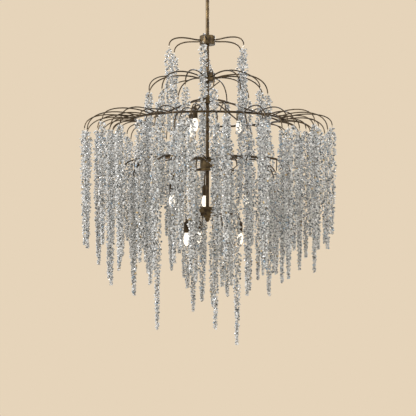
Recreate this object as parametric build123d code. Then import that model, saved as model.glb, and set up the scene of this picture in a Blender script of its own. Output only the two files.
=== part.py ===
from build123d import *
import os
from math import cos, hypot, radians, sin

os.makedirs("parts", exist_ok=True)

# Driving dimensions, mm. The ceiling is z = 0, +Z is up and the front of the fitting faces -Y.
# Angles are degrees round the stem, 0 at the front and growing towards the right (+X).

# ceiling plate, canopy and the swivel under it
bracket_length, bracket_width, bracket_thick = 114.0, 24.0, 3.0
slot_spacing, slot_length, slot_width = 88.9, 12.0, 4.8
nipple_radius, nipple_bottom = 5.0, -52.0
canopy_radius, canopy_depth, canopy_wall = 66.0, 58.0, 1.4
collar_radius, collar_height = 21.0, 10.0
neck_radius, neck_top, neck_bottom = 12.5, -36.0, -74.0
fork_bottom, fork_slot = -102.0, 10.0
pin_radius, pin_height = 3.0, -91.0
knuckle_radius, knuckle_top, knuckle_bottom = 8.0, -107.0, -126.0
turn_gap = 0.05
slide_gap = 0.1

# stem and hubs: height of the middle, radius, height
tie_radius, tube_radius, tube_bore = 5.0, 6.5, 5.3
hub_sizes = {"hub_1": (-282.0, 29.0, 33.0), "hub_2": (-419.0, 29.0, 33.0),
             "hub_3": (-500.0, 22.0, 30.0), "hub_4": (-738.0, 39.0, 50.0),
             "hub_5": (-912.0, 37.0, 34.0)}
flange_thick, spool_radius = 9.0, 27.0
finial_height = 22.0
rod_socket = 9.0

# metal rods
arm_radius, twig_radius, link_radius = 2.7, 2.2, 0.9
spoke_radius, ring_radius, ring_rod = 3.0, 266.0, 4.0
ring_height = -574.0
link_length = 9.0
end_drop = 4.0
ring_seat = 0.05

# strands of crystals: widest near the top, thin at the tip
strand_top, strand_wide, strand_thin, strand_tip = 5.0, 22.0, 8.5, 3.0
hinge_pin, ferrule_height, ferrule_slot = 1.2, 8.0, 3.2

# tier 1: tip angles, distance from the stem, height and strand lengths
tier_1_angles, tier_1_radius, tier_1_tip = (-6, 62, 121, 180, 238, 290), 148.0, -311.0
tier_1_lengths = (335, 300, 325, 310, 330, 305)
# tier 3: twigs that leave the ring, with their tips on three circles whose strands just clear
# each other, and the shortest strand on each circle
twig_reach, strand_gap = 95.0, 1.5
inner_radius = ring_radius + twig_reach
middle_radius = inner_radius + 2 * strand_wide + strand_gap
outer_radius = middle_radius + 2 * strand_wide + strand_gap
outer_count, middle_count, inner_count = 24, 18, 18
outer_length, middle_length, inner_length = 385.0, 395.0, 410.0
# tier 4: its strands hang inside those of tier 3, those of its side twigs nearer the stem
tier_4_gap, near_step, branch_step = 5.0, 36.0, 20.0
tier_4_radius = inner_radius - 2 * strand_wide - tier_4_gap
tier_4_near = tier_4_radius - near_step
tier_4_branch = tier_4_near - branch_step
tier_4_count, tier_4_start, tier_4_length, near_length = 14, -33.0, 310.0, 330.0
step_4 = 360 / tier_4_count
# strands that hang from the front arms of tier 4 and from their side twigs, left to right
front_lengths, near_lengths = (555, 365, 592, 408), (300, 520, 420, 330)
# tier 2: its strands hang inside the ring, midway between the arms of tier 4; where a top strand
# stands in an arm's way, a side twig of the arm before it takes its strand
tier_2_gap, tier_2_tip, tier_2_length, tier_2_twigs = 18.0, -474.0, 330.0, (3, 8, 10, 12)
tier_2_radius = ring_radius - ring_rod - strand_wide - tier_2_gap
# the spokes of tier 3 run over arms of tier 4, clear of the strands
spoke_places = (3, 5, 7, 9, 11, 14)
tier_5_count, tier_5_start, tier_5_radius, tier_5_seat, tier_5_length = 6, 45.0, 76.0, 7.0, 215.0

# lamps: height of the top of the cup, radius from the stem, angles
lamp_rings = {"upper": (-541.0, 118.0, (338, 78, 212)), "middle": (-812.0, 165.0, (310, 58, 184)),
              "lower": (-948.0, 130.0, (325, 65, 195))}
lamp_rod, cup_seat = 2.7, 4.0
cup_radius, cup_height = 13.0, 8.0
socket_radius, socket_height = 9.5, 32.0
cap_radius, cap_height, cap_depth = 6.0, 20.0, 22.0
glass_radius, glass_length, glass_neck = 11.5, 50.0, 7.0


def spot(radius, angle, height):
    """A point given by its radius, angle and height."""
    return Vector(radius * sin(radians(angle)), -radius * cos(radians(angle)), height)


def solid_of(rings):
    """A flat-faced solid skinned over rings that have the same number of corners."""
    faces = [Face(Wire.make_polygon(end, close=True)) for end in (rings[0], rings[-1])]
    for low, high in zip(rings, rings[1:]):
        for i in range(len(low)):
            j = (i + 1) % len(low)
            faces.append(Face(Wire.make_polygon([low[i], low[j], high[j], high[i]], close=True)))
    return Solid(Shell(faces))


def rod(points, radius, sides=6):
    """A rod of even thickness along straight runs, mitred where two runs meet."""
    runs = [(b - a).normalized() for a, b in zip(points, points[1:])]
    side = runs[0].cross(Vector(0, 0, 1))
    if side.length < 0.02:
        side = Vector(1, 0, 0)
    side = side.normalized()
    up = side.cross(runs[0]).normalized()
    turns = [radians(360 * (k + 0.5) / sides) for k in range(sides)]
    rings = [[points[0] + side * radius * cos(t) + up * radius * sin(t) for t in turns]]
    for i, run in enumerate(runs):
        mitre = run if i == len(runs) - 1 else (run + runs[i + 1]).normalized()
        rings.append([v + run * ((points[i + 1] - v).dot(mitre) / run.dot(mitre)) for v in rings[-1]])
    return solid_of(rings)


def bend(start, lead, fall, tip, runs):
    """Points of a smooth bend from start to tip, ending in a short straight drop."""
    above = tip + Vector(0, 0, end_drop)
    points = []
    for i in range(runs + 1):
        t = i / runs
        points.append(start * (1 - t) ** 3 + lead * 3 * t * (1 - t) ** 2 + fall * 3 * t * t * (1 - t)
                      + above * t ** 3)
    return points + [tip]


def save(name, solids):
    """Write one node; its label and file carry the same name."""
    shape = Compound(list(solids))
    shape.label = name
    export_step(shape, f"parts/{name}.step")


def turned(profile):
    """A solid turned about the stem's axis from (radius, height) corners."""
    return revolve(make_face(Polyline([(r, 0, z) for r, z in profile], close=True)), Axis.Z).solid()


def drilled(solid, rods):
    """A solid with a fitting hole for each rod let into it."""
    for one in rods:
        solid = (solid - one).solid()
    return solid


# ---- ceiling plate: a stamped steel cross plate with two slots for the ceiling box's screws ----
plate = Pos(0, 0, -bracket_thick / 2) * Box(bracket_length, bracket_width, bracket_thick)
plate -= Pos(0, 0, -bracket_thick / 2) * Cylinder(nipple_radius, bracket_thick)
for side in (-1, 1):
    plate -= Pos(side * slot_spacing / 2, 0, -bracket_thick) * extrude(
        SlotOverall(slot_length, slot_width), bracket_thick)
save("ceiling_bracket", plate.solids())
nipple = Pos(0, 0, nipple_bottom / 2) * Cylinder(nipple_radius, -nipple_bottom)
save("bracket_nipple", nipple.solids())

# ---- canopy: a spun dish with a threaded collar that holds it up on the swivel's neck ----
collar_bore = neck_radius + slide_gap
wall = canopy_wall
canopy = turned([(canopy_radius, 0), (canopy_radius, -14), (canopy_radius - 8, -34),
                 (collar_radius + 8, -canopy_depth + 3), (collar_radius, -canopy_depth),
                 (collar_bore, -canopy_depth), (collar_bore, -canopy_depth + wall),
                 (collar_radius, -canopy_depth + wall), (collar_radius + 7, -canopy_depth + 3 + wall),
                 (canopy_radius - 8 - wall, -34 + wall / 2), (canopy_radius - wall, -14),
                 (canopy_radius - wall, 0)])
save("canopy", [canopy])
collar = turned([(collar_bore, -canopy_depth), (collar_radius - 2, -canopy_depth),
                 (collar_radius - 2, -canopy_depth - collar_height + 3),
                 (collar_radius - 5, -canopy_depth - collar_height),
                 (collar_bore, -canopy_depth - collar_height)])
save("canopy_collar", [collar])

# ---- swivel: fork on the nipple, pin across it, knuckle that tilts on the pin ----
fork = Pos(0, 0, (neck_top + fork_bottom) / 2) * Cylinder(neck_radius, neck_top - fork_bottom)
fork -= Pos(0, 0, neck_top + (nipple_bottom - 1 - neck_top) / 2) * Cylinder(
    nipple_radius + turn_gap, neck_top - nipple_bottom + 1)
fork -= Pos(0, 0, fork_bottom) * Box(fork_slot, 3 * neck_radius, 2 * (neck_bottom - 4 - fork_bottom))
across = Pos(0, 0, pin_height) * Rot(0, 90, 0)
pin_length = 2 * neck_radius - 2
fork -= across * Cylinder(pin_radius, pin_length)
save("swivel_fork", fork.solids())
save("swivel_pin", (across * Cylinder(pin_radius, pin_length)).solids())

tongue_thick = fork_slot - 2 * slide_gap
tongue = across * Cylinder(knuckle_radius, tongue_thick)
tongue += Pos(0, 0, (pin_height + knuckle_top) / 2) * Box(
    tongue_thick, 2 * knuckle_radius, pin_height - knuckle_top)
tongue -= across * Cylinder(pin_radius + turn_gap, tongue_thick)
barrel = Pos(0, 0, (knuckle_top + knuckle_bottom) / 2) * Cylinder(knuckle_radius,
                                                                  knuckle_top - knuckle_bottom)
knuckle = tongue + barrel
tie_top = knuckle_top - 8
knuckle -= Pos(0, 0, (tie_top + knuckle_bottom) / 2) * Cylinder(tie_radius, tie_top - knuckle_bottom)
save("swivel_knuckle", knuckle.solids())

# ---- stem: a tie rod from knuckle to finial, tubes between the hubs, the finial under them ----
hub_top = {n: z + h / 2 for n, (z, r, h) in hub_sizes.items()}
hub_base = {n: z - h / 2 for n, (z, r, h) in hub_sizes.items()}
tie_bottom = hub_base["hub_5"] - finial_height / 2
tie_rod = Pos(0, 0, (tie_top + tie_bottom) / 2) * Cylinder(tie_radius, tie_top - tie_bottom)
save("tie_rod", tie_rod.solids())
tube_ends = [knuckle_bottom] + list(hub_base.values())[:-1]
tubes = []
for high, low in zip(tube_ends, hub_top.values()):
    tubes.append(turned([(tube_bore, high), (tube_radius, high), (tube_radius, low), (tube_bore, low)]))
save("stem_tube", tubes[:1])
save("column_tubes", tubes[1:])
low = hub_base["hub_5"]
finial = turned([(tie_radius, low), (15, low), (15, low - 5), (9, low - 9), (9, low - 14),
                 (4, low - finial_height), (0, low - finial_height), (0, tie_bottom),
                 (tie_radius, tie_bottom)])
save("finial", [finial])


def hub_blank(name):
    """A hub before its rods are let in: a bored disc, with flanges on the spool."""
    z, r, h = hub_sizes[name]
    low, high = z - h / 2, z + h / 2
    if name == "hub_3":
        edge = [(tie_radius, high), (14, high), (r, low + 6), (r, low), (tie_radius, low)]
    elif name == "hub_4":
        edge = [(tie_radius, high), (r, high), (r, high - flange_thick), (spool_radius, high - flange_thick),
                (spool_radius, low + flange_thick), (r, low + flange_thick), (r, low), (tie_radius, low)]
    else:
        edge = [(tie_radius, high), (r - 1.5, high), (r, high - 1.5), (r, low + 1.5), (r - 1.5, low),
                (tie_radius, low)]
    return turned(edge)


# ---- tier 1: six arms that run out level from the top hub and drop at their ends ----
strand_places = []
arms = []
hub_z, hub_r, hub_h = hub_sizes["hub_1"]
for number, angle in enumerate(tier_1_angles):
    tip = spot(tier_1_radius, angle, tier_1_tip)
    start = spot(hub_r - rod_socket, angle, hub_z)
    path = [start, spot(hub_r + 14, angle, hub_z)] + bend(
        spot(hub_r + 28, angle, hub_z + 1.5), spot(tier_1_radius * 0.72, angle, hub_z + 8),
        spot(tier_1_radius - 4, angle, hub_z + 2), tip, 5)
    arms.append(rod(path, arm_radius))
save("arms_tier_1", arms)
save("hub_1", [drilled(hub_blank("hub_1"), arms)])

# each top strand hangs on a pin across the end of a short link, and can swing in and out
links = []
for number, angle in enumerate(tier_1_angles):
    pin_z = tier_1_tip - 8
    link = Pos(spot(tier_1_radius, angle, (tier_1_tip + pin_z) / 2)) * Cylinder(
        link_radius, tier_1_tip - pin_z)
    turn = Pos(spot(tier_1_radius, angle, pin_z)) * Rot(0, 0, angle) * Rot(0, 90, 0)
    link += turn * Cylinder(hinge_pin, 8)
    links.append(link.solid())
    head = Pos(spot(tier_1_radius, angle, pin_z - 1)) * Cylinder(strand_top, ferrule_height)
    slot = Pos(spot(tier_1_radius, angle, pin_z + 1.2)) * Rot(0, 0, angle) * Box(
        ferrule_slot, 12, 6)
    bore = turn * Cylinder(hinge_pin + turn_gap, 12)
    strand_places.append((1, tier_1_radius, angle, pin_z - 1 - ferrule_height / 2,
                          tier_1_lengths[number], (head - slot - bore).solid()))
save("hinge_links", links)
plain_links = []


def add_strand(tier, radius, angle, tip_z, length):
    """Note a strand and make the short link it hangs on."""
    strand_places.append((tier, radius, angle, tip_z - link_length, length, None))
    ends = [spot(radius, angle, tip_z), spot(radius, angle, tip_z - link_length)]
    plain_links.append(rod(ends, link_radius))


# ---- tier 2: arms that arch out of the second hub, four of them with side twigs ----
hub_z, hub_r, hub_h = hub_sizes["hub_2"]
arms, forks = [], []
for number in range(tier_4_count):
    angle = tier_4_start + step_4 * (number + 0.5)
    tip_z = tier_2_tip - 7 * (number % 3)
    tip = spot(tier_2_radius, angle, tip_z)
    add_strand(2, tier_2_radius, angle, tip_z, tier_2_length + 24 * ((number * 3) % 4))
    if number in tier_2_twigs:
        lead, fall = root + spot(30, angle - 12, 5), tip + Vector(0, 0, 44)
        twig = rod(bend(root, lead, fall, tip, 4), twig_radius)
        forks.append((twig - arms[-1]).solids().sort_by(SortBy.VOLUME)[-1])
        continue
    path = [spot(hub_r - rod_socket, angle, hub_z), spot(hub_r + 8, angle, hub_z)] + bend(
        spot(hub_r + 26, angle, hub_z + 5), spot(tier_2_radius * 0.52, angle, hub_z + 16),
        spot(tier_2_radius - 8, angle, hub_z + 12), tip, 6)
    root = (path[4] + path[5]) * 0.5
    arms.append(rod(path, arm_radius))
save("arms_tier_2", arms)
save("twigs_tier_2", forks)
save("hub_2", [drilled(hub_blank("hub_2"), arms)])

# ---- tier 3: a ring carried on six spokes, with drooping twigs all round it ----
hub_z, hub_r, hub_h = hub_sizes["hub_3"]
ring = Pos(0, 0, ring_height) * Torus(ring_radius, ring_rod)
spokes, sag = [], hub_z - ring_height
for place in spoke_places:
    angle = tier_4_start + step_4 * place
    path = [spot(hub_r - rod_socket, angle, hub_z + 2), spot(hub_r + 8, angle, hub_z + 1),
            spot(ring_radius * 0.34, angle, hub_z - sag * 0.19),
            spot(ring_radius * 0.71, angle, hub_z - sag * 0.65), spot(ring_radius, angle, ring_height)]
    spoke = rod(path, spoke_radius)
    spokes.append((spoke - ring).solids().sort_by(SortBy.VOLUME)[-1])
save("ring_tier_3", ring.solids())
save("spokes_tier_3", spokes)

# tips lie on three circles; in order of angle their twigs leave the ring evenly spaced, each
# butted square to the ring and let into it a little
circles = {"outer": (outer_count, outer_radius), "middle": (middle_count, middle_radius),
           "inner": (inner_count, inner_radius)}
tips = []
for lag, (circle, (count, reach)) in enumerate(circles.items()):
    for n in range(count):
        tips.append((360 * (n + 0.5 - 0.17 * lag) / count + 2.2 * sin(2.3 * n + lag), circle, n))
twigs = {"outer": [], "middle": [], "inner": []}
leave = ring_radius + ring_rod - ring_seat
for place, (angle, circle, number) in enumerate(sorted(tips)):
    begin = 360 * (place + 0.5) / len(tips)
    between = (2 * begin + angle) / 3
    reach = circles[circle][1] + 3 * (number % 3 - 1)
    butt, start = spot(leave, begin, ring_height), spot(leave + 5, begin, ring_height)
    if circle == "outer":
        tip_z, runs = ring_height - 28 - 8 * ((number * 7) % 5), 5
        length = outer_length + 75 * cos(radians(angle)) ** 2 + 8 * ((number * 3) % 5)
        lead, fall = spot(leave + 58, between, ring_height + 20), spot(reach - 5, angle, ring_height + 24)
    elif circle == "middle":
        tip_z, runs = ring_height - 26 - 8 * ((number * 5) % 4), 4
        length = middle_length + 26 * ((number * 3) % 5)
        lead, fall = spot(leave + 44, between, ring_height + 8), spot(reach - 5, angle, ring_height + 12)
    else:
        tip_z, runs = ring_height - 38 - 9 * ((number * 3) % 4), 3
        length = inner_length + 27 * ((number * 5) % 6)
        lead, fall = spot(leave + 28, between, ring_height + 2), spot(reach - 4, angle, ring_height + 2)
    path = [butt] + bend(start, lead, fall, spot(reach, angle, tip_z), runs)
    twigs[circle].append(rod(path, twig_radius))
    add_strand(3, reach, angle, tip_z, length)
save("outer_twigs_tier_3", twigs["outer"])
save("inner_twigs_tier_3", twigs["middle"] + twigs["inner"])

# ---- tier 4: arms from the spool's top flange, each with a side twig near its end ----
hub_z, hub_r, hub_h = hub_sizes["hub_4"]
arm_z = hub_z + hub_h / 2 - flange_thick / 2
arms_4, forks = [], []
for number in range(tier_4_count):
    angle = tier_4_start + step_4 * number
    reach = tier_4_radius - 9 * (number % 2)
    tip_z = -752 - 9 * ((number * 3) % 5)
    tip = spot(reach, angle, tip_z)
    path = [spot(hub_r - rod_socket, angle, arm_z), spot(hub_r + 10, angle, arm_z)] + bend(
        spot(hub_r + 30, angle, arm_z + 2), spot(reach * 0.6, angle, arm_z + 10),
        spot(reach - 8, angle, arm_z + 6), tip, 6)
    main = rod(path, arm_radius)
    arms_4.append(main)
    in_front = number < len(front_lengths)
    length = front_lengths[number] if in_front else tier_4_length + 32 * ((number * 3) % 4)
    add_strand(4, reach, angle, tip_z, length)
    # the side twig leaves the arm at a set distance from the stem
    before = [i for i, point in enumerate(path) if hypot(point.X, point.Y) < tier_4_branch][-1]
    low, high = path[before], path[before + 1]
    share = (tier_4_branch - hypot(low.X, low.Y)) / (hypot(high.X, high.Y) - hypot(low.X, low.Y))
    root = low * (1 - share) + high * share
    side, end_z = angle + step_4 / 2, tip_z + 4 - 10 * (number % 2)
    end = spot(tier_4_near, side, end_z)
    lead, fall = root + spot(14, angle + 60, 2), end + Vector(0, 0, 26)
    twig = rod(bend(root, lead, fall, end, 4), twig_radius)
    forks.append((twig - main).solids().sort_by(SortBy.VOLUME)[-1])
    length = near_lengths[number] if in_front else near_length + 36 * ((number * 5) % 4)
    add_strand(4, tier_4_near, side, end_z, length)
save("arms_tier_4", arms_4)
save("twigs_tier_4", forks)

# ---- tier 5: short arms that droop from the lowest hub, under the column ----
hub_z, hub_r, hub_h = hub_sizes["hub_5"]
arms_5 = []
for number in range(tier_5_count):
    angle = tier_5_start + 360 * number / tier_5_count
    low = hub_z - hub_h / 2 + tier_5_seat
    tip_z = low - 44 - 8 * (number % 3)
    path = [spot(hub_r - rod_socket, angle, low), spot(hub_r + 6, angle, low)] + bend(
        spot(hub_r + 14, angle, low - 1), spot(hub_r + 30, angle, low - 4),
        spot(tier_5_radius, angle, low - 8), spot(tier_5_radius, angle, tip_z), 4)
    arms_5.append(rod(path, twig_radius))
    add_strand(5, tier_5_radius, angle, tip_z, tier_5_length + 34 * ((number * 5) % 4))
save("arms_tier_5", arms_5)
save("strand_links", plain_links)

# ---- lamps: a rod from the hub, a cup, a socket and a bulb hanging cap up in it ----
lamp_rods, cups, sockets = {}, [], []
for group, hub in (("upper", "hub_3"), ("middle", "hub_4"), ("lower", "hub_5")):
    cup_top, reach, angles = lamp_rings[group]
    z, r, h = hub_sizes[hub]
    leave = z - h / 2 + (flange_thick if group == "lower" else flange_thick / 2)
    rods = []
    for number, angle in enumerate(angles):
        seat = spot(reach, angle, cup_top - cup_seat)
        path = [spot(r - rod_socket, angle, leave), spot(r + 8, angle, leave)]
        if group == "lower":
            path += bend(spot(r + 14, angle, leave - 1), spot(r + 40, angle, leave - 4),
                         spot(reach, angle, leave + 8), seat, 5)
        else:
            path += bend(spot(r + 14, angle, leave - 2), spot(reach * 0.7, angle, leave - 4),
                         spot(reach, angle, leave - 2), seat, 5)
        rods.append(rod(path, lamp_rod))
        at = Pos(spot(reach, angle, 0))
        cups.append(drilled((at * turned([(0, cup_top), (5, cup_top), (cup_radius, cup_top - cup_height),
                                          (0, cup_top - cup_height)])).solid(), [rods[-1]]))
        top = cup_top - cup_height
        low = top - socket_height
        sockets.append((at * turned([(0, top), (socket_radius, top), (socket_radius, low),
                                     (cap_radius + slide_gap, low), (cap_radius + slide_gap, low + cap_depth),
                                     (0, low + cap_depth)])).solid())
        mark = "abc"[number]
        base = low + cap_depth - cap_height
        cap = at * turned([(0, low + cap_depth), (2.5, low + cap_depth), (cap_radius, low + cap_depth - 4),
                           (cap_radius, base), (0, base)])
        save(f"bulb_cap_{group}_{mark}", cap.solids())
        glass = at * turned([(0, base), (cap_radius, base), (cap_radius, low - 1), (glass_neck, low - 3),
                             (glass_radius, base - 20), (glass_radius - 1, base - 33),
                             (5, base - glass_length + 3), (0, base - glass_length)])
        save(f"bulb_glass_{group}_{mark}", glass.solids())
    save(f"lamp_rods_{group}", rods)
    lamp_rods[hub] = rods
save("lamp_cups", cups)
save("lamp_sockets", sockets)
save("hub_3", [drilled(hub_blank("hub_3"), spokes + lamp_rods["hub_3"])])
save("hub_4", [drilled(hub_blank("hub_4"), arms_4 + lamp_rods["hub_4"])])
save("hub_5", [drilled(hub_blank("hub_5"), arms_5 + lamp_rods["hub_5"])])

# ---- strands: crystals threaded close together on a wire, here as the column they fill ----
groups = {2: [], 3: [], 4: [], 5: []}
marks = iter("abcdef")
for tier, radius, angle, top, length, head in strand_places:
    sides = 6
    turns = [radians(360 * k / sides) for k in range(sides)]
    middle = spot(radius, angle, 0)
    steps = [(0.0, strand_top), (0.07, strand_wide), (0.5, strand_wide * 0.8), (0.93, strand_thin),
             (1.0, strand_tip)]
    rings = [[middle + Vector(r * cos(t), r * sin(t), top - part * length) for t in turns]
             for part, r in steps]
    column = solid_of(rings)
    if head is not None:
        save(f"strand_tier_1_{next(marks)}", [(column + head).solid()])
    else:
        groups[tier].append(column)
save("strands_tier_2", groups[2])
save("strands_tier_3", groups[3])
save("strands_tier_4", groups[4] + groups[5])
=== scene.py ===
from math import atan2, cos, degrees, pi, radians, sin
import bpy
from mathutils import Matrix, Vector


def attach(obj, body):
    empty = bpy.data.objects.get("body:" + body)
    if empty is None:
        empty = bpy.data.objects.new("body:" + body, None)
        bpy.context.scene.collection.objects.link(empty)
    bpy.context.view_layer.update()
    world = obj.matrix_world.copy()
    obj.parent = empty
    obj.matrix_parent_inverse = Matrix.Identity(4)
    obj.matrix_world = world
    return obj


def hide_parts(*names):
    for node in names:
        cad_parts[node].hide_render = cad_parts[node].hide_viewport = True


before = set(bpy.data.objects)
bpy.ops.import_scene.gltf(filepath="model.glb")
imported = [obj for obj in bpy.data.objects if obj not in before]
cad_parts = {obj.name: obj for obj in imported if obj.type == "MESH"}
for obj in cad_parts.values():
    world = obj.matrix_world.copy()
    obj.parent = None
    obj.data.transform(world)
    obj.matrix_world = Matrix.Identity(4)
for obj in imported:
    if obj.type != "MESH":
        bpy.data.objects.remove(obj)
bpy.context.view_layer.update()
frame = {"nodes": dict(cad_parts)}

nodes, mm = frame["nodes"], 0.001

# ---- Ceiling plate -------------------------------------------------------------------------
# The cross plate and its nipple are stamped and turned from mild steel and zinc plated. They
# screw to the box in the ceiling, and the dish hides them.


def colour(code):
    """The linear colour of an sRGB hex value."""
    parts = [int(code[i:i + 2], 16) / 255 for i in (1, 3, 5)]
    return [p / 12.92 if p <= 0.04045 else ((p + 0.055) / 1.055) ** 2.4 for p in parts] + [1.0]


def add(tree, kind, links=None, **settings):
    """One more node in a tree: its settings, and what each of its inputs holds or is fed from."""
    made = tree.nodes.new(kind)
    for name, value in settings.items():
        setattr(made, name, value)
    for name, value in (links or {}).items():
        if isinstance(value, bpy.types.NodeSocket):
            tree.links.new(value, made.inputs[name])
        else:
            made.inputs[name].default_value = value
    return made


def begin(name, **sockets):
    """A material with its shader's own numbers set."""
    made = bpy.data.materials.new(name)
    made.use_nodes = True
    shader = made.node_tree.nodes["Principled BSDF"]
    for socket, value in sockets.items():
        shader.inputs[socket.replace("_", " ")].default_value = value
    return made, made.node_tree, shader


def stops(ramp, first, *between, last):
    """Gives a colour ramp its stops, each a position and a hex colour, and returns its colour."""
    elements = ramp.color_ramp.elements
    for element, (position, code) in zip(elements, (first, last)):
        element.position, element.color = position, colour(code)
    for position, code in between:
        elements.new(position).color = colour(code)
    return ramp.outputs["Color"]


def dress(names, made):
    """Gives CAD nodes a material in every slot that they have."""
    for name in names:
        mesh = nodes[name].data
        if not mesh.materials:
            mesh.materials.append(made)
        for place in range(len(mesh.materials)):
            mesh.materials[place] = made


# zinc plate over stamped steel: a cool grey with cloudy crystals about 6 mm across
zinc, tree, shader = begin("zinc_plated_steel", Metallic=1.0)
where = add(tree, "ShaderNodeTexCoord").outputs["Object"]
cloud = add(tree, "ShaderNodeTexNoise", {"Vector": where, "Scale": 1 / (6 * mm), "Detail": 3.0})
ramp = add(tree, "ShaderNodeValToRGB", {"Fac": cloud.outputs["Fac"]})
tree.links.new(stops(ramp, (0.3, "#8C8F8E"), last=(0.7, "#BDC0BC")), shader.inputs["Base Color"])
rough = add(tree, "ShaderNodeMapRange", {"Value": cloud.outputs["Fac"],
                                         "To Min": 0.32, "To Max": 0.5})
tree.links.new(rough.outputs["Result"], shader.inputs["Roughness"])
dress(("ceiling_bracket", "bracket_nipple", "tie_rod", "swivel_pin"), zinc)

# ---- Canopy, swivel, stem and hubs ---------------------------------------------------------
# Spun, turned and drawn steel and brass, all in aged bronze: a dark brown lacquer over a plated
# ground, rubbed lighter in cloudy patches about 22 mm across, with a soft satin gloss.


def aged_bronze(name, dark, light):
    """Bronze lacquer between two tones, with a fine grain of about 1.6 mm."""
    made, tree, shader = begin(name, Metallic=0.85, Coat_Weight=0.15, Coat_Roughness=0.25)
    where = add(tree, "ShaderNodeTexCoord").outputs["Object"]
    patch = add(tree, "ShaderNodeTexNoise", {"Vector": where, "Scale": 1 / (22 * mm),
                                             "Detail": 5.0, "Roughness": 0.62})
    grain = add(tree, "ShaderNodeTexNoise", {"Vector": where, "Scale": 1 / (1.6 * mm),
                                             "Detail": 2.0})
    ramp = add(tree, "ShaderNodeValToRGB", {"Fac": patch.outputs["Fac"]})
    tree.links.new(stops(ramp, (0.36, dark), last=(0.74, light)), shader.inputs["Base Color"])
    rough = add(tree, "ShaderNodeMapRange", {"Value": patch.outputs["Fac"],
                                             "To Min": 0.5, "To Max": 0.3})
    tree.links.new(rough.outputs["Result"], shader.inputs["Roughness"])
    bump = add(tree, "ShaderNodeBump", {"Height": grain.outputs["Fac"], "Distance": 0.05 * mm,
                                        "Strength": 0.4})
    tree.links.new(bump.outputs["Normal"], shader.inputs["Normal"])
    return made


# the hubs and the canopy are handled and wiped, which leaves them more golden than the rods
wiped = aged_bronze("wiped_bronze_lacquer", "#3D3122", "#806C4A")
bronze = aged_bronze("aged_bronze_lacquer", "#2E2519", "#6A583F")
dress(("canopy", "canopy_collar", "swivel_fork", "swivel_knuckle", "stem_tube",
       "hub_1", "hub_2", "hub_3", "hub_4", "hub_5", "finial"), wiped)
dress(("column_tubes", "lamp_cups", "lamp_sockets"), bronze)

# ---- Arms of tier 1 ------------------------------------------------------------------------
# Six steel rods, bent cold and brazed into the top hub. They run out level and drop over their
# strands. Like every rod here, each follows the middle line of its CAD rod but is round.
arm_radius, rod_socket, end_drop = 2.7, 9.0, 4.0
tier_1_radius, tier_1_tip = 148.0, -311.0
tier_1_angles, tier_1_lengths = (-6, 62, 121, 180, 238, 290), (335, 300, 325, 310, 330, 305)
tips = []       # each rod's tip: tier, distance from the stem, angle, height, strand's length


def spot(radius, angle, height):
    """A point from its distance from the stem, its angle round it and its height, in mm."""
    return Vector((radius * sin(radians(angle)), -radius * cos(radians(angle)), height)) * mm


def up(height):
    """A step straight up, in mm."""
    return Vector((0, 0, height * mm))


def bend(start, lead, fall, tip, steps=14):
    """Points of a smooth bend from start to tip, ending in a short straight drop."""
    above = tip + up(end_drop)
    points = []
    for i in range(steps + 1):
        t = i / steps
        points.append(start * (1 - t) ** 3 + lead * 3 * t * (1 - t) ** 2
                      + fall * 3 * t * t * (1 - t) + above * t ** 3)
    return points + [tip]


def tree_of(name, numbers):
    """A new tree of geometry nodes with a geometry, a material and named numbers going in."""
    group = bpy.data.node_groups.new(name, "GeometryNodeTree")
    group.interface.new_socket("Geometry", in_out="INPUT", socket_type="NodeSocketGeometry")
    group.interface.new_socket("Material", in_out="INPUT", socket_type="NodeSocketMaterial")
    for label, value in numbers.items():
        kind = "NodeSocketInt" if isinstance(value, int) else "NodeSocketFloat"
        socket = group.interface.new_socket(label, in_out="INPUT", socket_type=kind)
        socket.default_value = value
    group.interface.new_socket("Geometry", in_out="OUTPUT", socket_type="NodeSocketGeometry")
    return group, group.nodes.new("NodeGroupInput")


def close_tree(group, entry, made):
    """Ends a tree as the export needs: instances made real, then the material."""
    real = add(group, "GeometryNodeRealizeInstances", {"Geometry": made})
    faced = add(group, "GeometryNodeSetMaterial", {"Geometry": real.outputs[0],
                                                   "Material": entry.outputs["Material"]})
    add(group, "NodeGroupOutput", {"Geometry": faced.outputs[0]})


def grow(name, group, lines, made, body, **numbers):
    """Runs a tree over lines, lists of (point, radius), and leaves a plain mesh on a body."""
    path = bpy.data.curves.new(name + "_line", "CURVE")
    path.dimensions = "3D"
    for line in lines:
        run = path.splines.new("POLY")
        run.points.add(len(line) - 1)
        for point, (place, radius) in zip(run.points, line):
            point.co, point.radius = (*place, 1.0), radius
    source = bpy.data.objects.new(name + "_line", path)
    bpy.context.collection.objects.link(source)
    modifier = source.modifiers.new("grow", "NODES")
    modifier.node_group = group
    values = {"Material": made, **numbers}
    for item in group.interface.items_tree:
        if item.in_out == "INPUT" and item.name in values:
            modifier[item.identifier] = values[item.name]
    seen = source.evaluated_get(bpy.context.evaluated_depsgraph_get())
    mesh = bpy.data.meshes.new_from_object(seen)
    mesh.name = name
    bpy.data.objects.remove(source)
    piece = bpy.data.objects.new(name, mesh)
    bpy.context.collection.objects.link(piece)
    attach(piece, body)
    return piece


round_rod, entry = tree_of("round_rod", {"Sides": 10})
profile = add(round_rod, "GeometryNodeCurvePrimitiveCircle",
              {"Resolution": entry.outputs["Sides"], "Radius": 1.0})
swept = add(round_rod, "GeometryNodeCurveToMesh",
            {"Curve": entry.outputs["Geometry"], "Profile Curve": profile.outputs["Curve"],
             "Scale": add(round_rod, "GeometryNodeInputRadius").outputs[0], "Fill Caps": True})
smooth = add(round_rod, "GeometryNodeSetShadeSmooth", {"Geometry": swept.outputs["Mesh"]})
close_tree(round_rod, entry, smooth.outputs["Geometry"])


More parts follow.
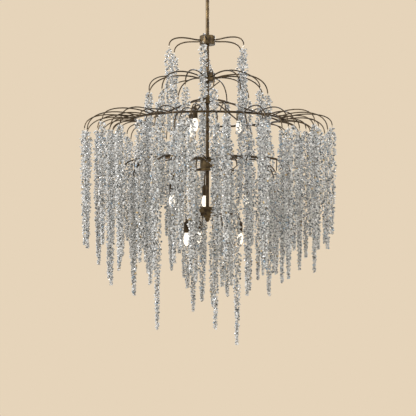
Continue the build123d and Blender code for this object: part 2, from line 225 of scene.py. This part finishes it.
def wire(points, thick, thin=0.82):
    """A rod's line with its radius at each point: a little thinner towards the tip, then domed."""
    last = len(points) - 1
    line = [(p, thick * mm * (1 - (1 - thin) * (i / last) ** 2)) for i, p in enumerate(points)]
    end, radius = line.pop()
    run = (points[-1] - points[-2]).normalized()
    dome = ((0.5, 1.0), (0.12, 0.75), (0.0, 0.3))     # how far back, how thick, in radii
    return line + [(end - run * radius * back, radius * share) for back, share in dome]


def round_size(name):
    """The middle height, radius and height of a round CAD node, in mm."""
    corners = [vertex.co / mm for vertex in nodes[name].data.vertices]
    low, high = min(c.z for c in corners), max(c.z for c in corners)
    return (low + high) / 2, max(c.xy.length for c in corners), high - low


hub_z, hub_r, _ = round_size("hub_1")
lines = []
for angle, length in zip(tier_1_angles, tier_1_lengths):
    path = [spot(hub_r - rod_socket, angle, hub_z), spot(hub_r + 14, angle, hub_z)]
    path += bend(spot(hub_r + 28, angle, hub_z + 1.5),
                 spot(tier_1_radius * 0.72, angle, hub_z + 8),
                 spot(tier_1_radius - 4, angle, hub_z + 2),
                 spot(tier_1_radius, angle, tier_1_tip))
    lines.append(wire(path, arm_radius))
    tips.append((1, tier_1_radius, angle, tier_1_tip, length))
rods = grow("arms_of_tier_1", round_rod, lines, bronze, "fitting")
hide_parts("arms_tier_1")

# ---- Arms and twigs of tier 2 --------------------------------------------------------------
# Steel rods that arch out of the second hub. Where a top strand hangs in an arm's way, a side
# twig, brazed halfway along the arm before it, takes that arm's strand.
arm_count, first_angle = 14, -33
step = 360 / arm_count
tier_2_radius, tier_2_tip, tier_2_twigs = 222.0, 474.0, (3, 8, 10, 12)
twig_radius = 2.2


def stepped(number, least, by, turn, kinds):
    """A size that goes up by whole steps from piece to piece, in a mixed order."""
    return least + by * ((number * turn) % kinds)


hub_z, hub_r, _ = round_size("hub_2")
lines, twigs = [], []
for number in range(arm_count):
    angle, tip_z = first_angle + step * (number + 0.5), -stepped(number, tier_2_tip, 7, 1, 3)
    tip = spot(tier_2_radius, angle, tip_z)
    tips.append((2, tier_2_radius, angle, tip_z, stepped(number, 330, 24, 3, 4)))
    if number in tier_2_twigs:
        path = bend(root, root + spot(30, angle - 12, 5), tip + up(44), tip)
        twigs.append(wire(path, twig_radius))
        continue
    path = [spot(hub_r - rod_socket, angle, hub_z), spot(hub_r + 8, angle, hub_z)]
    path += bend(spot(hub_r + 26, angle, hub_z + 5),
                 spot(tier_2_radius * 0.52, angle, hub_z + 16),
                 spot(tier_2_radius - 8, angle, hub_z + 12), tip, 18)
    root = (path[9] + path[10]) * 0.5
    lines.append(wire(path, arm_radius))
rods = grow("arms_of_tier_2", round_rod, lines, bronze, "fitting")
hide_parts("arms_tier_2")
rods = grow("side_twigs_of_tier_2", round_rod, twigs, bronze, "fitting")
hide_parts("twigs_tier_2")

# ---- Hoop, spokes and twigs of tier 3 ------------------------------------------------------
# A rolled steel hoop on six spokes from the third hub. Sixty drooping twigs are brazed to it,
# evenly spaced, and their tips lie on three circles.
spoke_radius, spoke_places, hoop_steps = 3.0, (3, 5, 7, 9, 11, 14), 96
ring_z, ring_r, ring_height = round_size("ring_tier_3")
ring_rod = ring_height / 2
ring_r -= ring_rod
hub_z, hub_r, _ = round_size("hub_3")
lines, sag = [], hub_z - ring_z
for place in spoke_places:
    angle = first_angle + step * place
    path = [spot(hub_r - rod_socket, angle, hub_z + 2), spot(hub_r + 8, angle, hub_z + 1),
            spot(ring_r * 0.34, angle, hub_z - sag * 0.19),
            spot(ring_r * 0.71, angle, hub_z - sag * 0.65), spot(ring_r - 1, angle, ring_z)]
    lines.append([(point, spoke_radius * mm) for point in path])
spokes = grow("spokes_of_tier_3", round_rod, lines, bronze, "fitting")
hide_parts("spokes_tier_3")
hoop = [(spot(ring_r, 360 * i / hoop_steps, ring_z), ring_rod * mm) for i in range(hoop_steps + 1)]
ring = grow("ring_of_tier_3", round_rod, [hoop], bronze, "fitting", Sides=12)
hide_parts("ring_tier_3")

# For each circle: its radius and number of twigs, how far the tips are below the hoop, how far
# out and up a twig leads, how far in and up it turns over, and how long the strands are. The
# outer strands are longer at the front and the back than at the sides.
circles = {"outer": (452.0, 24, (28, 8, 7, 5), (58, 20), (5, 24), (385, 8, 3, 5)),
           "middle": (406.5, 18, (26, 8, 5, 4), (44, 8), (5, 12), (395, 26, 3, 5)),
           "inner": (361.0, 18, (38, 9, 3, 4), (28, 2), (4, 2), (410, 27, 5, 6))}
outer_extra, stub = 75, 5
places = []
for lag, (circle, (_, count, *_)) in enumerate(circles.items()):
    places += [(360 * (n + 0.5 - 0.17 * lag) / count + 2.2 * sin(2.3 * n + lag), circle, n)
               for n in range(count)]
lines = {circle: [] for circle in circles}
leave = ring_r + ring_rod - 0.3
for place, (angle, circle, number) in enumerate(sorted(places)):
    radius, _, drops, (lead_out, lead_up), (fall_in, fall_up), lengths = circles[circle]
    begins = 360 * (place + 0.5) / len(places)
    between = (2 * begins + angle) / 3
    reach, tip_z = radius + 3 * (number % 3 - 1), ring_z - stepped(number, *drops)
    length = stepped(number, *lengths)
    if circle == "outer":
        length += outer_extra * cos(radians(angle)) ** 2
    butt, start = spot(leave, begins, ring_z), spot(leave + stub, begins, ring_z)
    path = [butt] + bend(start, spot(leave + lead_out, between, ring_z + lead_up),
                         spot(reach - fall_in, angle, ring_z + fall_up),
                         spot(reach, angle, tip_z))
    tips.append((3, reach, angle, tip_z, length))
    lines[circle].append(wire(path, twig_radius))
rods = grow("outer_twigs_of_tier_3", round_rod, lines["outer"], bronze, "fitting")
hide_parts("outer_twigs_tier_3")
rods = grow("inner_twigs_of_tier_3", round_rod, lines["middle"] + lines["inner"], bronze, "fitting")
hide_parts("inner_twigs_tier_3")

# ---- Arms and twigs of tier 4 --------------------------------------------------------------
# Fourteen steel rods from the top flange of the spool, each with a side twig brazed to it near
# its end. The photograph gives the lengths of the strands on the front ones.
tier_4_radius, tier_4_near, tier_4_branch, tier_4_tip = 312.0, 276.0, 256.0, 752.0
flange_middle = 4.5
front_lengths, near_lengths = (555, 365, 592, 408), (300, 520, 420, 330)
hub_z, hub_r, hub_h = round_size("hub_4")
arm_z = hub_z + hub_h / 2 - flange_middle
lines, twigs = [], []
for number in range(arm_count):
    angle, odd, in_front = first_angle + step * number, number % 2, number < len(front_lengths)
    reach, tip_z = tier_4_radius - 9 * odd, -stepped(number, tier_4_tip, 9, 3, 5)
    path = [spot(hub_r - rod_socket, angle, arm_z), spot(hub_r + 10, angle, arm_z)]
    path += bend(spot(hub_r + 30, angle, arm_z + 2), spot(reach * 0.6, angle, arm_z + 10),
                 spot(reach - 8, angle, arm_z + 6), spot(reach, angle, tip_z), 18)
    lines.append(wire(path, arm_radius))
    length = front_lengths[number] if in_front else stepped(number, 310, 32, 3, 4)
    tips.append((4, reach, angle, tip_z, length))
    branch = tier_4_branch * mm
    inner = [i for i, point in enumerate(path) if point.xy.length < branch][-1]
    low, high = path[inner], path[inner + 1]
    root = low.lerp(high, (branch - low.xy.length) / (high.xy.length - low.xy.length))
    side, end_z = angle + step / 2, tip_z + 4 - 10 * odd
    end = spot(tier_4_near, side, end_z)
    twigs.append(wire(bend(root, root + spot(14, angle + 60, 2), end + up(26), end), twig_radius))
    length = near_lengths[number] if in_front else stepped(number, 330, 36, 5, 4)
    tips.append((4, tier_4_near, side, end_z, length))
rods = grow("arms_of_tier_4", round_rod, lines, bronze, "fitting")
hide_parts("arms_tier_4")
rods = grow("side_twigs_of_tier_4", round_rod, twigs, bronze, "fitting")
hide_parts("twigs_tier_4")

# ---- Arms of tier 5 ------------------------------------------------------------------------
# Six short thin rods that droop from the lowest hub, just above its lower edge, and carry the
# strands in the middle of the fitting.
tier_5_count, tier_5_start, tier_5_radius, tier_5_seat = 6, 45, 76.0, 7.0
hub_z, hub_r, hub_h = round_size("hub_5")
arm_z, lines = hub_z - hub_h / 2 + tier_5_seat, []
for number in range(tier_5_count):
    angle = tier_5_start + 360 / tier_5_count * number
    tip_z = arm_z - stepped(number, 44, 8, 1, 3)
    path = [spot(hub_r - rod_socket, angle, arm_z), spot(hub_r + 6, angle, arm_z)]
    path += bend(spot(hub_r + 14, angle, arm_z - 1), spot(hub_r + 30, angle, arm_z - 4),
                 spot(tier_5_radius, angle, arm_z - 8), spot(tier_5_radius, angle, tip_z))
    lines.append(wire(path, twig_radius))
    tips.append((5, tier_5_radius, angle, tip_z, stepped(number, 215, 34, 5, 4)))
rods = grow("arms_of_tier_5", round_rod, lines, bronze, "fitting")
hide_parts("arms_tier_5")

# ---- Lamps ---------------------------------------------------------------------------------
# Nine small sockets hang cap up on bent rods under their cups. Each takes a small candle bulb
# of satin glass with a nickelled screw cap, and they are lit.
lamp_hubs, lamp_rod = {"upper": "hub_3", "middle": "hub_4", "lower": "hub_5"}, 2.7
rod_rise = {"upper": 4.5, "middle": 4.5, "lower": 9.0}      # over the hub's lower face
socket_height, cup_height, cup_seat, neck_in = 32.0, 8.0, 4.0, 2.0
# half the bulb's outline: (radius, mm under the base), then (radius, share of what is below)
neck = ((5.9, 0.0), (5.9, 2.5), (6.6, 4.5))
swell_top, swell = 6.0, ((6.6, 0.0), (8.6, 0.12), (10.5, 0.25), (11.4, 0.4), (11.0, 0.55),
                         (9.4, 0.7), (6.8, 0.84), (3.6, 0.95), (1.2, 1.0))

# nickel over brass: a bright warm grey, rolled into a thread of about 2.1 mm pitch. The bands
# of a wave texture are 0.314 / Scale apart.
nickel, tree, shader = begin("nickelled_brass", Metallic=1.0, Roughness=0.28)
shader.inputs["Base Color"].default_value = colour("#C9C4B8")
where = add(tree, "ShaderNodeTexCoord").outputs["Object"]
thread = add(tree, "ShaderNodeTexWave", {"Vector": where, "Scale": 0.314 / (2.1 * mm),
                                         "Distortion": 0.0},
             wave_type="BANDS", bands_direction="Z")
bump = add(tree, "ShaderNodeBump", {"Height": thread.outputs["Fac"], "Distance": 0.5 * mm})
tree.links.new(bump.outputs["Normal"], shader.inputs["Normal"])

# satin glass, lit from inside to an even warm white, faintly grained by the acid that frosts it
satin, tree, shader = begin("lit_satin_glass", Roughness=0.35, IOR=1.5, Emission_Strength=1.1)
shader.inputs["Base Color"].default_value = colour("#F4EFE6")
shader.inputs["Emission Color"].default_value = colour("#FFF3DF")
where = add(tree, "ShaderNodeTexCoord").outputs["Object"]
frost = add(tree, "ShaderNodeTexNoise", {"Vector": where, "Scale": 1 / (0.8 * mm), "Detail": 2.0})
bump = add(tree, "ShaderNodeBump", {"Height": frost.outputs["Fac"], "Distance": 0.03 * mm})
tree.links.new(bump.outputs["Normal"], shader.inputs["Normal"])


def lathe(name, centre, outline, made, sides=24):
    """A closed shape turned about an upright line: outline is (radius, height) in mm, top first."""
    corners, faces = [], []
    for radius, height in outline:
        for k in range(sides):
            turn = 2 * pi * k / sides
            corners.append(centre + Vector((radius * cos(turn), radius * sin(turn), height)) * mm)
    for row in range(len(outline) - 1):
        for k in range(sides):
            after = (k + 1) % sides
            faces.append((row * sides + k, (row + 1) * sides + k, (row + 1) * sides + after,
                          row * sides + after))
    faces.append(tuple(range(sides)))
    faces.append(tuple(reversed(range(len(corners) - sides, len(corners)))))
    mesh = bpy.data.meshes.new(name)
    mesh.from_pydata(corners, [], faces)
    mesh.shade_smooth()
    mesh.materials.append(made)
    piece = bpy.data.objects.new(name, mesh)
    bpy.context.collection.objects.link(piece)
    return piece


for group, hub in lamp_hubs.items():
    z, r, h = round_size(hub)
    leave = z - h / 2 + rod_rise[group]
    rods = []
    for mark in "abc":
        # the CAD bulb's place: its top and foot, and the middle of its foot
        shell = [vertex.co / mm for vertex in nodes[f"bulb_glass_{group}_{mark}"].data.vertices]
        base, foot = max(c.z for c in shell), min(c.z for c in shell)
        lowest = [c.xy for c in shell if c.z < foot + 0.1]
        across = sum(lowest, Vector((0, 0))) / len(lowest)
        reach, angle = across.length, degrees(atan2(across.x, -across.y))
        seat = base - neck_in + socket_height + cup_height - cup_seat
        path = [spot(r - rod_socket, angle, leave), spot(r + 8, angle, leave)]
        if group == "lower":
            path += bend(spot(r + 14, angle, leave - 1), spot(r + 40, angle, leave - 4),
                         spot(reach, angle, leave + 8), spot(reach, angle, seat))
        else:
            path += bend(spot(r + 14, angle, leave - 2), spot(reach * 0.7, angle, leave - 4),
                         spot(reach, angle, leave - 2), spot(reach, angle, seat))
        rods.append([(point, lamp_rod * mm) for point in path])
        top = base - swell_top
        half = [(wide, base - under) for wide, under in neck]
        half += [(wide, top - (top - foot) * share) for wide, share in swell]
        glass = lathe(f"bulb_{group}_{mark}", spot(reach, angle, 0), half, satin)
        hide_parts(f"bulb_glass_{group}_{mark}")
        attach(glass, f"bulb_{group}_{mark}")
        dress((f"bulb_cap_{group}_{mark}",), nickel)
    bent = grow(f"rods_of_{group}_lamps", round_rod, rods, bronze, "fitting")
    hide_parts(f"lamp_rods_{group}")

# ---- Hooks ---------------------------------------------------------------------------------
# Every tip ends in a small eye, and each strand hangs in it on a bent hook of bright steel
# wire. The top six have a pin that their strand's first bead swings on.
hook_wire, eye_radius, eye_drop, hook_length, eye_steps = 0.55, 2.0, 2.6, 9.0, 12

# drawn steel wire: bright and cool, with streaks of duller grey about 1.2 mm long
steel, tree, shader = begin("bright_steel_wire", Metallic=1.0, Roughness=0.25)
where = add(tree, "ShaderNodeTexCoord").outputs["Object"]
drawn = add(tree, "ShaderNodeTexNoise", {"Vector": where, "Scale": 1 / (1.2 * mm), "Detail": 1.0})
ramp = add(tree, "ShaderNodeValToRGB", {"Fac": drawn.outputs["Fac"]})
tree.links.new(stops(ramp, (0.3, "#8E8A80"), last=(0.7, "#C9C6BE")), shader.inputs["Base Color"])
dress(("hinge_links",), steel)
lines = []
for tier, reach, angle, tip_z, length in tips:
    if tier == 1:
        continue
    top, out = spot(reach, angle, tip_z), spot(1, angle, 0).normalized()
    path = [top]
    for i in range(1, eye_steps + 1):
        turn = radians(-60 + 300 * i / eye_steps)
        path.append(top + out * eye_radius * mm * sin(turn)
                    + up(eye_radius * cos(turn) - eye_drop))
    path += [top - up(5.6), top - up(hook_length)]
    lines.append([(point, hook_wire * mm) for point in path])
hooks = grow("strand_hooks", round_rod, lines, steel, "fitting", Sides=6)
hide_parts("strand_links")

# ---- Strands -------------------------------------------------------------------------------
# Each strand is a steel wire with small cut crystals set close all round it, like a brush:
# widest near the top, thin at the tip. They are lead glass, pressed and fire polished.

# Lead crystal, with painted light: each cut face gets a painted reflection of its own, from dark
# to white, the crystals near the wire are darkened with painted shade, and one crystal in thirty
# gets a painted glint of blue or amber.
crystal, tree, shader = begin("cut_lead_crystal", Roughness=0.08, IOR=1.62,
                              Transmission_Weight=0.2)
# painted reflections: a random value for each face and each crystal picks a tone from dark to white
island = add(tree, "ShaderNodeNewGeometry").outputs["Random Per Island"]
facet = add(tree, "ShaderNodeAttribute", attribute_name="facet").outputs["Fac"]
mixed = add(tree, "ShaderNodeMath", {0: facet, 1: island}, operation="ADD")
tone = add(tree, "ShaderNodeMath", {0: mixed.outputs[0]}, operation="FRACT")
ramp = add(tree, "ShaderNodeValToRGB", {"Fac": tone.outputs[0]})
tones = stops(ramp, (0.0, "#2A2E2E"), (0.17, "#8A9294"), (0.32, "#E6EDF0"), (0.46, "#FFFFFF"),
              (0.9, "#FFFFFF"), last=(1.0, "#FFFFFF"))
# painted glints: one crystal in thirty is coloured pale blue or amber, as if it split the light
ramp = add(tree, "ShaderNodeValToRGB", {"Fac": island})
ramp.color_ramp.interpolation = "CONSTANT"
glints = stops(ramp, (0.0, "#FFFFFF"), (0.48, "#C4DDF4"), (0.5, "#FFFFFF"), (0.8, "#EFD3A0"),
               (0.81, "#FFFFFF"), last=(1.0, "#FFFFFF"))
painted_reflections_and_glints = add(tree, "ShaderNodeMix", {"Factor": 1.0, 6: tones, 7: glints},
             data_type="RGBA", blend_type="MULTIPLY")
# painted shade: crystals set nearer the wire, with a smaller depth, are darkened by up to two
# fifths
depth = add(tree, "ShaderNodeAttribute", attribute_name="depth").outputs["Fac"]
shade = add(tree, "ShaderNodeMapRange", {"Value": depth, "From Min": 0.25, "From Max": 0.95,
                                         "To Min": 0.5, "To Max": 1.0})
painted_core_shade = add(tree, "ShaderNodeMix", {"Factor": 1.0, 6: painted_reflections_and_glints.outputs[2],
                                     7: shade.outputs["Result"]},
             data_type="RGBA", blend_type="MULTIPLY")
tree.links.new(painted_core_shade.outputs[2], shader.inputs["Base Color"])

# The brush: points every Pitch along the wire, Round crystals to each, spread out to the
# line's radius and aimed outwards with a random lean.
brush, entry = tree_of("crystal_brush", {"Pitch": 0.006, "Round": 5, "Crystal": 0.0035, "Seed": 3})


def chance(low, high, seed, kind="FLOAT"):
    """A random number or vector for each crystal."""
    made = add(brush, "FunctionNodeRandomValue", data_type=kind)
    live = [s for s in made.inputs if s.enabled]
    live[0].default_value, live[1].default_value = low, high
    seeded = add(brush, "ShaderNodeMath", {0: entry.outputs["Seed"], 1: float(seed)},
                 operation="ADD")
    brush.links.new(seeded.outputs[0], made.inputs["Seed"])
    return [s for s in made.outputs if s.enabled][0]


beads = add(brush, "GeometryNodeResampleCurve", {"Curve": entry.outputs["Geometry"],
                                                 "Length": entry.outputs["Pitch"]}, mode="LENGTH")
keep = add(brush, "GeometryNodeCaptureAttribute", {"Geometry": beads.outputs["Curve"]})
keep.capture_items.new("FLOAT", "Reach")
brush.links.new(add(brush, "GeometryNodeInputRadius").outputs[0], keep.inputs["Reach"])
spots = add(brush, "GeometryNodeCurveToPoints", {"Curve": keep.outputs["Geometry"]},
            mode="EVALUATED")
many = add(brush, "GeometryNodeDuplicateElements", {"Geometry": spots.outputs["Points"],
                                                    "Amount": entry.outputs["Round"]},
           domain="POINT")
share = add(brush, "ShaderNodeMath", {0: many.outputs["Duplicate Index"],
                                      1: entry.outputs["Round"]}, operation="DIVIDE")
turn = add(brush, "ShaderNodeMath", {0: share.outputs[0], 1: 2 * pi}, operation="MULTIPLY")
twist = add(brush, "ShaderNodeMath", {0: turn.outputs[0], 1: chance(0.0, 2.4, 1)},
            operation="ADD")
index = add(brush, "GeometryNodeInputIndex")
swirl = add(brush, "ShaderNodeMath", {0: index.outputs[0], 1: 0.39}, operation="MULTIPLY")
angle = add(brush, "ShaderNodeMath", {0: twist.outputs[0], 1: swirl.outputs[0]}, operation="ADD")
depth = chance(0.4, 1.0, 2)
reach = add(brush, "ShaderNodeMath", {0: keep.outputs["Reach"], 1: depth}, operation="MULTIPLY")
cosine = add(brush, "ShaderNodeMath", {0: angle.outputs[0]}, operation="COSINE")
sine = add(brush, "ShaderNodeMath", {0: angle.outputs[0]}, operation="SINE")
across = add(brush, "ShaderNodeMath", {0: cosine.outputs[0], 1: reach.outputs[0]},
             operation="MULTIPLY")
along = add(brush, "ShaderNodeMath", {0: sine.outputs[0], 1: reach.outputs[0]},
            operation="MULTIPLY")
offset = add(brush, "ShaderNodeCombineXYZ", {"X": across.outputs[0], "Y": along.outputs[0],
                                             "Z": chance(-0.0025, 0.0025, 4)})
# each crystal's depth also sets its painted shade in the crystal material
marked = add(brush, "GeometryNodeStoreNamedAttribute", {
    "Geometry": many.outputs["Geometry"], "Name": "depth", "Value": depth}, domain="POINT")
spread = add(brush, "GeometryNodeSetPosition", {"Geometry": marked.outputs["Geometry"],
                                                "Offset": offset.outputs[0]})
ball = add(brush, "GeometryNodeMeshUVSphere", {"Segments": 5, "Rings": 3,
                                               "Radius": entry.outputs["Crystal"]})
# a random value on each face, which the crystal material turns into a painted reflection
bead = add(brush, "GeometryNodeStoreNamedAttribute", {
    "Geometry": ball.outputs["Mesh"], "Name": "facet", "Value": chance(0.0, 1.0, 9)},
    domain="FACE")
lean = add(brush, "ShaderNodeVectorMath", {0: offset.outputs[0], 1: chance(
    (-0.005, -0.005, -0.009), (0.005, 0.005, 0.003), 5, "FLOAT_VECTOR")}, operation="ADD")
aimed = add(brush, "FunctionNodeAlignRotationToVector", {"Vector": lean.outputs[0]}, axis="Z")
size = chance((0.85, 0.85, 1.2), (1.2, 1.2, 1.45), 6, "FLOAT_VECTOR")
set_on = add(brush, "GeometryNodeInstanceOnPoints", {
    "Points": spread.outputs["Geometry"], "Instance": bead.outputs["Geometry"], "Scale": size,
    "Rotation": aimed.outputs["Rotation"]})
flat = add(brush, "GeometryNodeSetShadeSmooth", {"Geometry": set_on.outputs["Instances"],
                                                 "Shade Smooth": False})
close_tree(brush, entry, flat.outputs["Geometry"])

# how far the crystals stand out, in mm, at a share of the strand's length
brush_outline = ((0.0, 8.0), (0.03, 14.5), (0.08, 15.7), (0.5, 14.5), (0.85, 7.5), (1.0, 4.0))
# bare wire at the top, at the foot and between runs; the first run's share; the other runs
top_bare, foot_bare, wire_gap, long_share, short_run = 4.0, 8.0, 8.0, 0.6, 72.0
core_radius, width_step, hinge_drop = 0.5, 12.0, 13.0
strands_in_piece = 15      # keeps each piece under its limit of triangles


def width(share):
    """How far the crystals stand out at a share of a strand's length, in mm."""
    for (before, wide), (after, next_wide) in zip(brush_outline, brush_outline[1:]):
        if share <= after:
            return wide + (next_wide - wide) * (share - before) / (after - before)
    return brush_outline[-1][1]


def strand(reach, angle, top, length):
    """The runs of one strand: a long one, then short ones with a little bare wire between."""
    ends, low = [top_bare, long_share * length], length - foot_bare
    while low - ends[-1] > 1.6 * short_run:
        ends += [ends[-1] + wire_gap, ends[-1] + wire_gap + short_run]
    if len(ends) == 2:
        ends[-1] = low
    if low - ends[-1] > wire_gap + 10:
        ends += [ends[-1] + wire_gap, low]
    runs = []
    for begins, stops_at in zip(ends[::2], ends[1::2]):
        count = max(2, int((stops_at - begins) / width_step))
        depths = [begins + (stops_at - begins) * i / count for i in range(count + 1)]
        runs.append([(spot(reach, angle, top - deep), width(deep / length) * mm)
                     for deep in depths])
    return runs


for place, (angle, length) in enumerate(zip(tier_1_angles, tier_1_lengths)):
    mark = "abcdef"[place]
    runs = strand(tier_1_radius, angle, tier_1_tip - hinge_drop, length)
    hung = grow(f"top_strand_{mark}", brush, runs, crystal, f"strand_{mark}", Seed=11 + 7 * place)
    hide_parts(f"strand_tier_1_{mark}")
hung_from = {2: "strands_tier_2", 3: "strands_tier_3", 4: "strands_tier_4", 5: "strands_tier_4"}
cores = []
for tier, node in hung_from.items():
    here = [tip for tip in tips if tip[0] == tier]
    for batch in range(0, len(here), strands_in_piece):
        lines = []
        for _, reach, angle, tip_z, length in here[batch:batch + strands_in_piece]:
            runs = strand(reach, angle, tip_z - hook_length, length)
            lines += runs
            cores.append([(runs[0][0][0], core_radius * mm), (runs[-1][-1][0], core_radius * mm)])
        hung = grow(f"strands_of_tier_{tier}_{batch // strands_in_piece + 1}", brush, lines,
                    crystal, "fitting", Seed=101 + 40 * tier + batch)
        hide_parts(node)
core = grow("strand_wires", round_rod, cores, steel, "fitting", Sides=5)

# ---- Room, light and camera ----------------------------------------------------------------
# A plain pale floor well below, soft studio light, and a level camera in front, as far off as
# the perspective of the tiers shows.
world = bpy.data.worlds.new("studio")
bpy.context.scene.world = world
world.use_nodes = True
tree = world.node_tree
tree.nodes.clear()
rays = add(tree, "ShaderNodeLightPath")
seen = add(tree, "ShaderNodeMath", {0: rays.outputs["Is Camera Ray"],
                                    1: rays.outputs["Is Transmission Ray"]}, operation="MAXIMUM")
light = add(tree, "ShaderNodeBackground", {"Color": colour("#FFFBF4"), "Strength": 0.77})
paper = add(tree, "ShaderNodeBackground", {"Color": colour("#E6D4BA"), "Strength": 1.0})
both = add(tree, "ShaderNodeMixShader", {"Fac": seen.outputs[0], 1: light.outputs[0],
                                         2: paper.outputs[0]})
add(tree, "ShaderNodeOutputWorld", {"Surface": both.outputs[0]})

# smoothed plaster: matt and pale, with clouds of tone about 300 mm across
plaster, tree, shader = begin("pale_floor_plaster", Roughness=0.85)
where = add(tree, "ShaderNodeTexCoord").outputs["Object"]
mottle = add(tree, "ShaderNodeTexNoise", {"Vector": where, "Scale": 1 / (300 * mm), "Detail": 3.0})
ramp = add(tree, "ShaderNodeValToRGB", {"Fac": mottle.outputs["Fac"]})
tree.links.new(stops(ramp, (0.3, "#E6D6BE"), last=(0.7, "#EEDFC8")), shader.inputs["Base Color"])
mesh = bpy.data.meshes.new("floor")
half, floor_z = 6.0, -4.6
mesh.from_pydata([(-half, -half, floor_z), (half, -half, floor_z), (half, half, floor_z),
                  (-half, half, floor_z)], [], [(0, 1, 2, 3)])
mesh.materials.append(plaster)
floor = bpy.data.objects.new("floor", mesh)
bpy.context.collection.objects.link(floor)


def softbox(name, place, aim, width, watts, tint):
    """A square area lamp that looks at a point."""
    lamp = bpy.data.lights.new(name, "AREA")
    lamp.shape, lamp.size, lamp.energy, lamp.color = "SQUARE", width, watts, colour(tint)[:3]
    box = bpy.data.objects.new(name, lamp)
    box.location = place
    box.rotation_euler = (Vector(aim) - Vector(place)).to_track_quat("-Z", "Y").to_euler()
    bpy.context.collection.objects.link(box)


middle = (0, 0, -0.8)
softbox("key_light", (-2.9, -1.8, 0.9), middle, 1.2, 95, "#FFFFFF")
softbox("fill_light", (2.8, -1.8, -0.2), middle, 1.6, 16, "#FFF4E6")
softbox("back_light", (0.6, 2.6, 0.4), middle, 1.4, 35, "#F2F7FF")

pixels, focal_pixels, distance = 416, 840.0, 3.1
camera = bpy.data.cameras.new("camera")
camera.sensor_width = 36.0
camera.lens = camera.sensor_width * focal_pixels / pixels
viewer = bpy.data.objects.new("camera", camera)
viewer.location = (0.002, -distance, -0.9)
viewer.rotation_euler = (radians(90), 0, 0)
bpy.context.collection.objects.link(viewer)
bpy.context.scene.camera = viewer
bpy.context.scene.view_settings.view_transform = "Standard"
